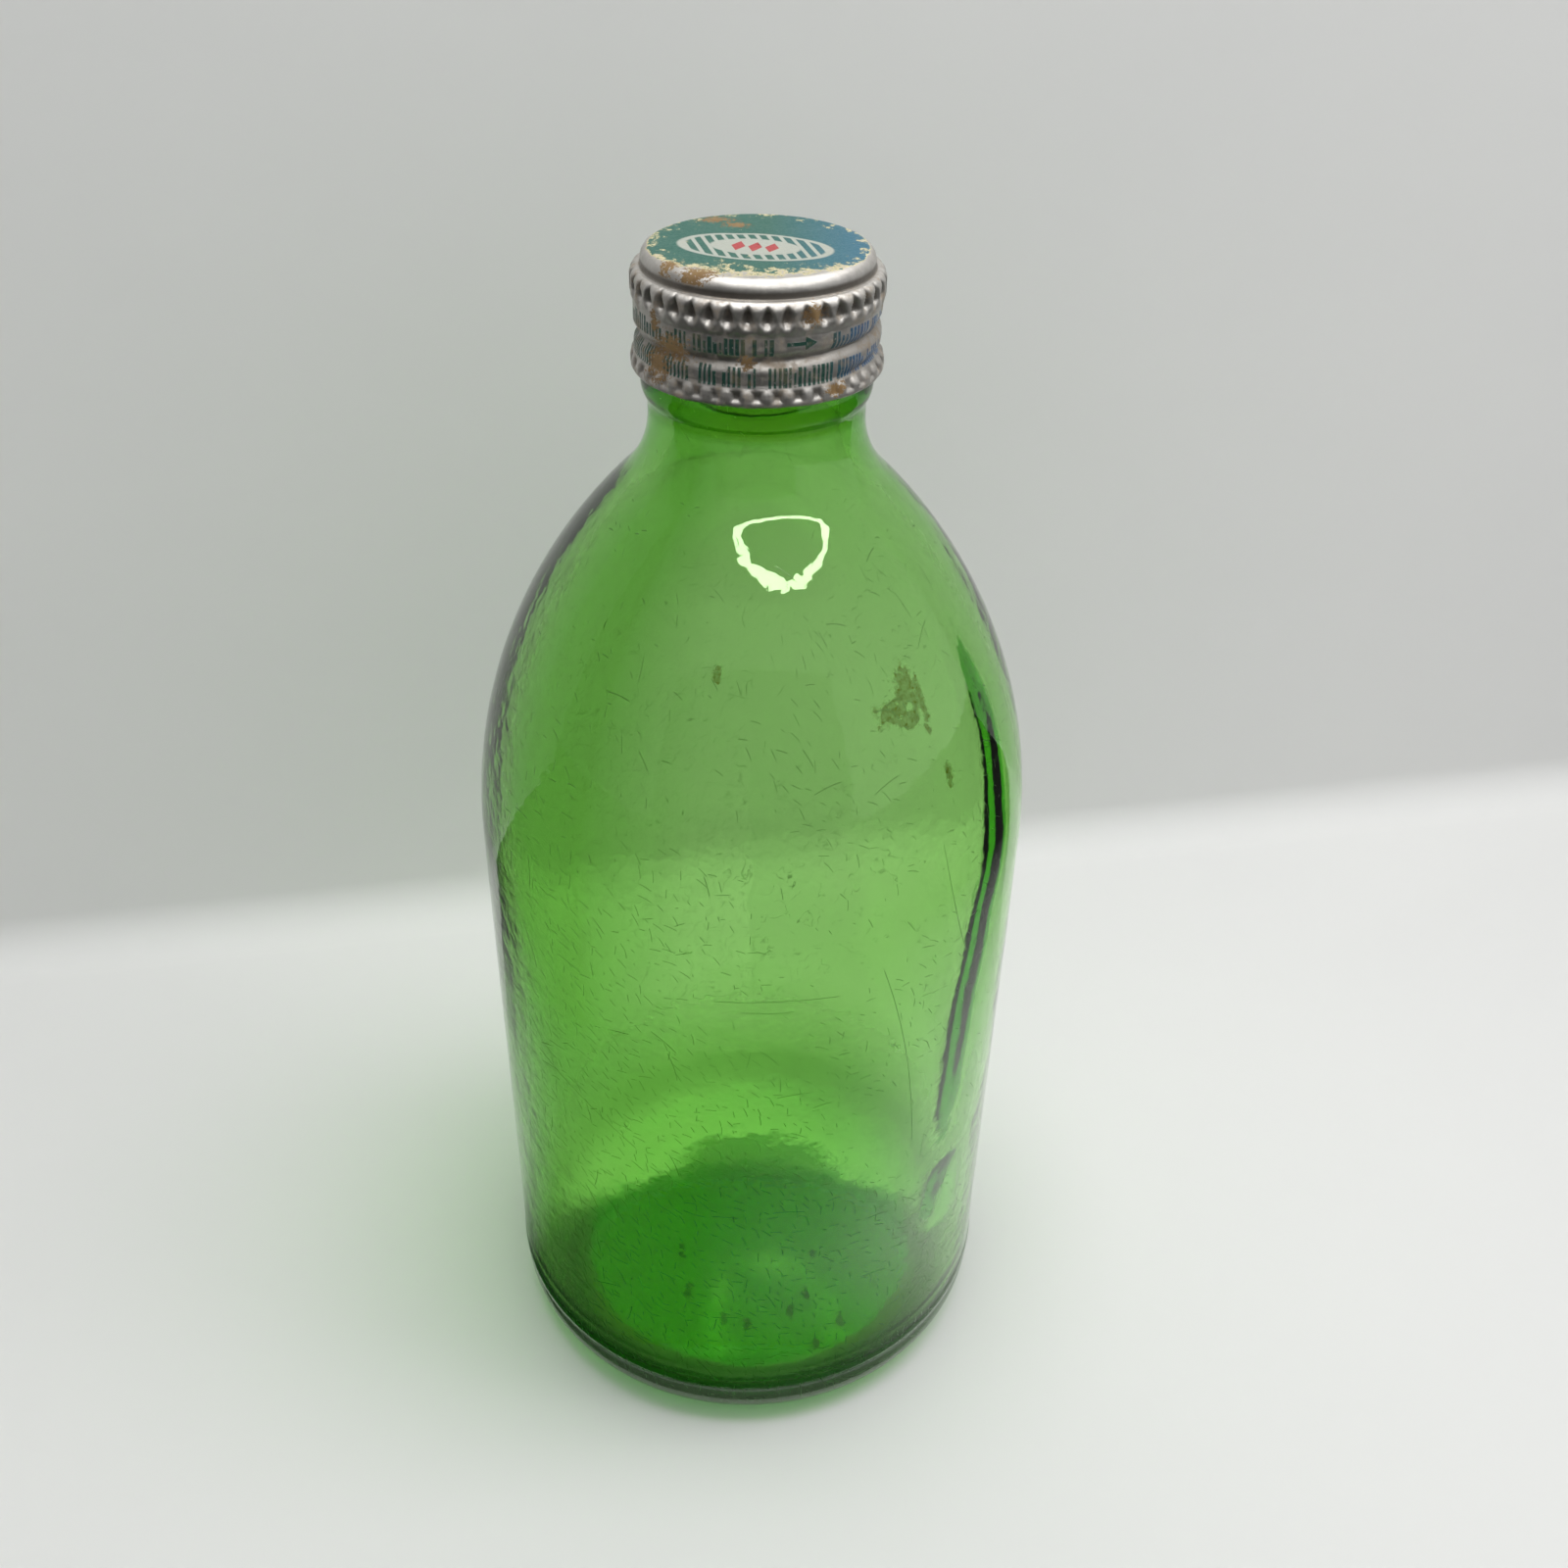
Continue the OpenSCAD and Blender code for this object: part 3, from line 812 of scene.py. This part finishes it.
def cap_dirt(tree, skin, flat, on_skirt, on_deck, grime, speckle):
    """Ragged stains on the skirt and the deck, and a film of grime down the skirt."""
    ragged = add(tree, "MapRange", {"Value": speckle, "From Min": 0.3, "From Max": 0.7,
                                    "To Min": -1.0, "To Max": 1.1})
    film = add(tree, "MapRange", {"Value": grime, "From Min": 0.50, "From Max": 0.72, "To Max": 0.55})
    dirt = 0.0
    for marks, where in ((blots(tree, skin, SKIRT_STAINS, ragged), on_skirt),
                         (blots(tree, flat, DECK_STAINS, ragged), on_deck), (film, on_skirt)):
        marks = add(tree, "Math", (marks, where), operation="MULTIPLY")
        dirt = add(tree, "Math", (dirt, marks), operation="MAXIMUM")
    return dirt


def sheet_relief(tree, skin, on_skirt, cover, speckle):
    """Drawing lines that run up the sheet, and the thickness of print and dirt. Real lines are finer:
    these are a fifth of a millimetre apart, so that they show."""
    drawn = add(tree, "VectorMath", (skin, (5.0, 0.25, 0)), operation="MULTIPLY")
    drawn = add(tree, "TexNoise", {"Vector": drawn, "Scale": 1.0, "Detail": 2.0})
    drawn = add(tree, "Math", (drawn, on_skirt), operation="MULTIPLY")
    height = add(tree, "Math", (drawn, 0.25, speckle), operation="MULTIPLY_ADD")
    height = add(tree, "Math", (cover, 0.5, height), operation="MULTIPLY_ADD")
    return add(tree, "Bump", {"Strength": 0.5, "Distance": 0.00006, "Height": height})


def lacquered_rolled_aluminium():
    """Soft aluminium sheet, drawn, knurled and rolled on. Bright where it was pressed and grey where it
    rubbed, with a teal lacquer on its deck that flakes at the front edge, printed strokes, and rust-brown
    dirt with painted shade in its low places."""
    material, tree = new_material("drawn_and_rolled_aluminium_sheet")
    place, flat, out, angle, (x, y, z) = in_millimetres(tree)
    along = add(tree, "Math", (angle, SKIRT_R), operation="MULTIPLY")
    skin = add(tree, "CombineXYZ", (along, z, 0))
    on_deck = within(tree, 1.0, (z, DECK_Z - 1.1, DECK_Z - 0.8))
    on_skirt = within(tree, 1.0, (z, DECK_Z - 1.6, DECK_Z - 2.0))
    grime = add(tree, "TexNoise", {"Vector": place, "Scale": 0.55, "Detail": 6.0, "Roughness": 0.65})
    speckle = add(tree, "TexNoise", {"Vector": place, "Scale": 2.6, "Detail": 5.0, "Roughness": 0.7})

    deck, gone, bare = deck_lacquer(tree, place, out, x, y, speckle)
    lacquered = within(tree, on_deck, (bare, 1.0, 0.0))
    ink, ink_tint = skirt_print(tree, along, z, on_skirt, speckle)
    dirt = cap_dirt(tree, skin, flat, on_skirt, on_deck, grime, speckle)
    # Dirt with painted shade in the cap's hollows darkens the sheet to brown-grey
    dirt_and_shade = add(tree, "Attribute", out="Fac", attribute_name="dirt_and_painted_shade")
    dirt_and_shade = add(tree, "Math", (dirt_and_shade, 0.8), operation="MULTIPLY")
    dirt_tint, colour = [
        add(tree, "Mix", {0: grime, 6: srgb(one), 7: srgb(other)}, out=2, data_type="RGBA")
        for one, other in (("#5e3c1a", "#9a8258"), ("#d2cfca", "#98948e"))]
    for share, coat in ((dirt_and_shade, srgb("#4f4538")), (lacquered, deck), (ink, ink_tint), (dirt, dirt_tint)):
        colour = add(tree, "Mix", {0: share, 6: colour, 7: coat}, out=2, data_type="RGBA")
    cover = add(tree, "Math", (lacquered, ink), operation="MAXIMUM")
    cover = add(tree, "Math", (cover, dirt), operation="MAXIMUM")
    metallic = add(tree, "Math", (1, cover), operation="SUBTRACT")
    rough = add(tree, "MapRange", {"Value": speckle, "From Min": 0.3, "From Max": 0.7,
                                   "To Min": 0.20, "To Max": 0.36})
    for share, gain in ((lacquered, 0.12), (dirt, 0.45), (gone, 0.2)):
        rough = add(tree, "Math", (share, gain, rough), operation="MULTIPLY_ADD")
    surface = add(tree, "BsdfPrincipled", {
        "Base Color": colour, "Roughness": rough, "Metallic": metallic,
        "Normal": sheet_relief(tree, skin, on_skirt, cover, speckle)})
    add(tree, "OutputMaterial", {"Surface": surface})
    return material


def flowed_in_compound():
    """Sealing compound spun into the cap and cured: soft, off-white and dull, with faint rings."""
    material, tree = new_material("flowed_in_sealing_compound")
    place, _, out, _, _ = in_millimetres(tree)
    rings = add(tree, "Math", (out, 4.2), operation="MULTIPLY")
    rings = add(tree, "Math", (rings,), operation="SINE")
    cloud = add(tree, "TexNoise", {"Vector": place, "Scale": 0.4, "Detail": 4.0})
    colour = add(tree, "Mix", {0: cloud, 6: srgb("#dcd8cb"), 7: srgb("#c3b893")}, out=2, data_type="RGBA")
    height = add(tree, "Math", (rings, 0.4, cloud), operation="MULTIPLY_ADD")
    relief = add(tree, "Bump", {"Strength": 0.3, "Distance": 0.00008, "Height": height})
    surface = add(tree, "BsdfPrincipled", {"Base Color": colour, "Roughness": 0.6, "Normal": relief})
    add(tree, "OutputMaterial", {"Surface": surface})
    return material


# ---------------------------------------------------------------- stage
def coated_paper(name, colour, mottle):
    """Smooth coated paper: nearly even, with a faint cloudiness from its fibres and soft dents.
    Its back doesn't show, so that the bottle can be seen from behind the backdrop."""
    material, tree = new_material(name)
    place = add(tree, "TexCoord", out="Object")
    cloud = add(tree, "TexNoise", {"Vector": place, "Scale": 9.0, "Detail": 5.0})
    tone = add(tree, "Mix", {0: cloud, 6: srgb(colour), 7: srgb(mottle)}, out=2, data_type="RGBA")
    dents = add(tree, "TexNoise", {"Vector": place, "Scale": 14.0, "Detail": 2.0})
    relief = add(tree, "Bump", {"Strength": 0.2, "Distance": 0.002, "Height": dents})
    surface = add(tree, "BsdfPrincipled", {"Base Color": tone, "Roughness": 0.8, "Normal": relief})
    behind = add(tree, "NewGeometry", out="Backfacing")
    seen = add(tree, "LightPath", out="Is Camera Ray")
    unseen = add(tree, "Math", (behind, seen), operation="MULTIPLY")
    nothing = add(tree, "BsdfTransparent", {"Color": (1.0, 1.0, 1.0, 1.0)})
    surface = add(tree, "MixShader", (unseen, surface, nothing))
    add(tree, "OutputMaterial", {"Surface": surface})
    return material


def make_sweep():
    """Floor and backdrop: one sheet of pale paper that turns up behind the bottle."""
    near, turn, bend, top, half = -700.0, 88.0, 9.0, 900.0, 800.0
    path = [(near, 0.0), (turn, 0.0)]
    path += [(turn + bend * math.sin(math.radians(a)), bend - bend * math.cos(math.radians(a)))
             for a in range(10, 91, 10)]
    path += [(turn + bend, top)]
    points, faces = [], []
    for y, z in path:
        points += [(-half, y, z), (half, y, z)]
    for i in range(len(path) - 1):
        faces.append((2 * i, 2 * i + 1, 2 * i + 3, 2 * i + 2))
    paper = coated_paper("smooth_coated_paper", "#dededc", "#d9d9d8")
    sweep = mesh_piece("paper_sweep", points, faces, paper)
    sweep.rotation_euler = (0, 0, math.radians(10.8))


def add_lamp(name, shape, size, place, turn, watts):
    """An area lamp, facing down until it is turned."""
    lamp = bpy.data.lights.new(name, "AREA")
    lamp.shape = shape
    lamp.size, lamp.size_y = size
    lamp.energy = watts
    holder = bpy.data.objects.new(name, lamp)
    holder.location = place
    holder.rotation_euler = turn
    holder.visible_camera = False
    bpy.context.scene.collection.objects.link(holder)
    return holder


# How strong the tent is, and the watts of the broad lamp and of each piece of the ring
TENT = 0.52
BROAD = 3.4
RING = 0.12
BROAD_SIZE, BROAD_PLACE, BROAD_TURN = (0.60, 0.24), (0.14, -0.04, 0.71), (0.05, 0.18, 0.0)
RING_PIECES, RING_RADIUS, RING_PIECE = 16, 0.165, (0.026, 0.066)
RING_X, RING_Y, RING_Z = 0.080, -0.080, 0.437
# The lying card's inner and outer radius, and the height of both cards' lowest edge, in mm
CARD_NEAR, CARD_FAR, CARD_Z = 38.5, 1500, 2


def shade_card_finish():
    """Painted shade, seen only in gloss mirrors: dull and dark, with a fine mottle. It fades to pale on both
    sides of the bottle."""
    material, tree = new_material("painted_shade_card")
    place = add(tree, "TexCoord", out="Object")
    card_mottle = add(tree, "TexNoise", {"Vector": place, "Scale": 60.0, "Detail": 3.0})
    x, y, _ = add(tree, "SeparateXYZ", (place,)).node.outputs
    back = add(tree, "Math", (y, -1.0), operation="MULTIPLY")
    turn = add(tree, "Math", (x, back), operation="ARCTAN2")
    out = add(tree, "VectorMath", (place,), out="Value", operation="LENGTH")
    right = within(tree, 1.0, (turn, 0.45, 1.15), (out, 0.18, 0.08))
    left = within(tree, 1.0, (turn, -1.3, -1.75), (out, 0.13, 0.055))
    faded = add(tree, "Math", (right, left), operation="MAXIMUM")
    tone = srgb("#2e2f2d")
    for share, tint in ((card_mottle, "#3a3b38"), (faded, "#e4e4e2")):
        tone = add(tree, "Mix", {0: share, 6: tone, 7: srgb(tint)}, out=2, data_type="RGBA")
    surface = add(tree, "BsdfPrincipled", {"Base Color": tone, "Roughness": 0.9})
    add(tree, "OutputMaterial", {"Surface": surface})
    return material


def make_cards():
    """Two dark cards of painted shade that only gloss mirrors: one lies round the bottle, one stands behind
    the camera.
    """
    shade_finish = shade_card_finish()
    turns = [math.radians(a) for a in range(-212, 33, 4)]
    lying = [(r * math.cos(a), r * math.sin(a), CARD_Z) for a in turns for r in (CARD_NEAR, CARD_FAR)]
    strips = [(i, i + 1, i + 3, i + 2) for i in range(0, len(lying) - 2, 2)]
    standing = [(-260, -330, CARD_Z), (260, -330, CARD_Z), (260, -330, 330), (-260, -330, 330)]
    for name, corners, faces in (("lying_card", lying, strips), ("standing_card", standing, [(0, 1, 2, 3)])):
        card = mesh_piece(name, corners, faces, shade_finish)
        for ray in ("camera", "diffuse", "transmission", "shadow", "volume_scatter"):
            setattr(card, "visible_" + ray, False)


def make_lights():
    """A soft white tent, a broad lamp high up, and a ring lamp that only glass and metal mirror."""
    world = bpy.data.worlds.new("soft_white_tent")
    bpy.context.scene.world = world
    world.use_nodes = True
    tree = world.node_tree
    colour, strength = tree.nodes["Background"].inputs[:2]
    colour.default_value = srgb("#f4f5f6")
    way = add(tree, "TexCoord", out="Generated")
    way, _, _ = add(tree, "SeparateXYZ", (way,)).node.outputs
    level = add(tree, "MapRange", {"Value": way, "From Min": -1.0, "To Min": TENT * 0.42,
                                   "To Max": TENT * 1.58})
    tree.links.new(level, strength)
    broad = add_lamp("broad_soft_lamp", "RECTANGLE", BROAD_SIZE, BROAD_PLACE, BROAD_TURN, BROAD)
    broad.visible_glossy = False
    broad.visible_transmission = False
    for i in range(RING_PIECES):
        turn = 2 * math.pi * i / RING_PIECES
        place = (RING_X + RING_RADIUS * math.cos(turn), RING_Y + RING_RADIUS * math.sin(turn), RING_Z)
        piece = add_lamp(f"ring_lamp_{i}", "RECTANGLE", RING_PIECE, place, (0, 0, turn), RING)
        piece.visible_diffuse = False
        piece.visible_transmission = False


def make_camera():
    """The camera stands close in front of the bottle and looks down on it."""
    focal_px, picture_px = 1622.7, 1600.0
    pitch, yaw, roll = math.radians(34.885), math.radians(1.377), math.radians(1.411)
    place = Vector((0.0, -0.17971, 0.21849))
    forward = Vector((math.sin(yaw) * math.cos(pitch), math.cos(yaw) * math.cos(pitch), -math.sin(pitch)))
    level = Vector((math.cos(yaw), -math.sin(yaw), 0.0))
    above = level.cross(forward)
    right = level * math.cos(roll) + above * math.sin(roll)
    up = above * math.cos(roll) - level * math.sin(roll)
    data = bpy.data.cameras.new("camera")
    data.sensor_fit = "HORIZONTAL"
    data.sensor_width = 36.0
    data.lens = focal_px / picture_px * data.sensor_width
    data.clip_start = 0.005
    camera = bpy.data.objects.new("camera", data)
    turn = Matrix((right, up, -forward)).transposed().to_4x4()
    camera.matrix_world = Matrix.Translation(place) @ turn
    bpy.context.scene.collection.objects.link(camera)
    bpy.context.scene.camera = camera


def finish_liner(material):
    """The liner keeps its solid, with the compound's finish in place of the plain one."""
    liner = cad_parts["cap_liner"]
    for slot in liner.material_slots:
        slot.material = material


make_bottle(blown_green_glass())
make_cap(lacquered_rolled_aluminium())
finish_liner(flowed_in_compound())
make_sweep()
make_cards()
make_lights()
make_camera()

bpy.context.scene.view_settings.view_transform = "Standard"
